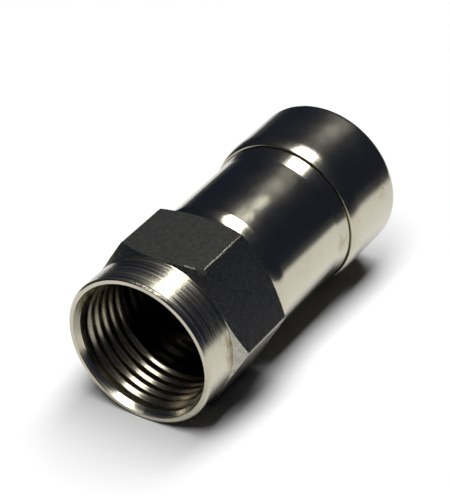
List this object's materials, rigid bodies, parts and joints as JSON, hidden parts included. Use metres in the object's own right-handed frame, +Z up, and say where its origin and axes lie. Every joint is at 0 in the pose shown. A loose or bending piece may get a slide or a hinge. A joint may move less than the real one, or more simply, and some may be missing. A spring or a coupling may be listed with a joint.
{
  "type": "coaxial f connector",
  "caption": "Open compression F connector: spinning hexagon nut with internal thread, round body, barbed inner post and a rear sleeve that slides to close it.",
  "frame": {"origin": "centre of the front face of the inner post, on the connector's axis: its reference plane", "axes": "+X along the axis towards the cable end, +Z up with a wrench flat of the nut facing down"},
  "size_m": [0.0243, 0.0126, 0.0116],
  "materials": {
    "nickel_plate": "bright nickel plate over turned brass",
    "tin_plate": "satin tin plate over turned brass",
    "seal_rubber": "matte",
    "ferrule_plastic": "matte"
  },
  "bodies": {
    "body": {"body_shell": "nickel_plate", "inner_post": "tin_plate", "seal_ring": "seal_rubber"},
    "nut": {"coupling_nut": "nickel_plate"},
    "sleeve": {"compression_sleeve": "nickel_plate", "grip_ferrule": "ferrule_plastic"}
  },
  "joints": [
    {"name": "nut_spin", "type": "hinge", "parent": "body", "child": "nut", "pos_m": [0, 0, 0], "axis": [1, 0, 0], "continuous": true},
    {"name": "sleeve_slide", "type": "slide", "parent": "body", "child": "sleeve", "axis": [-1, 0, 0], "range_m": [0, 0.0033]}
  ]
}
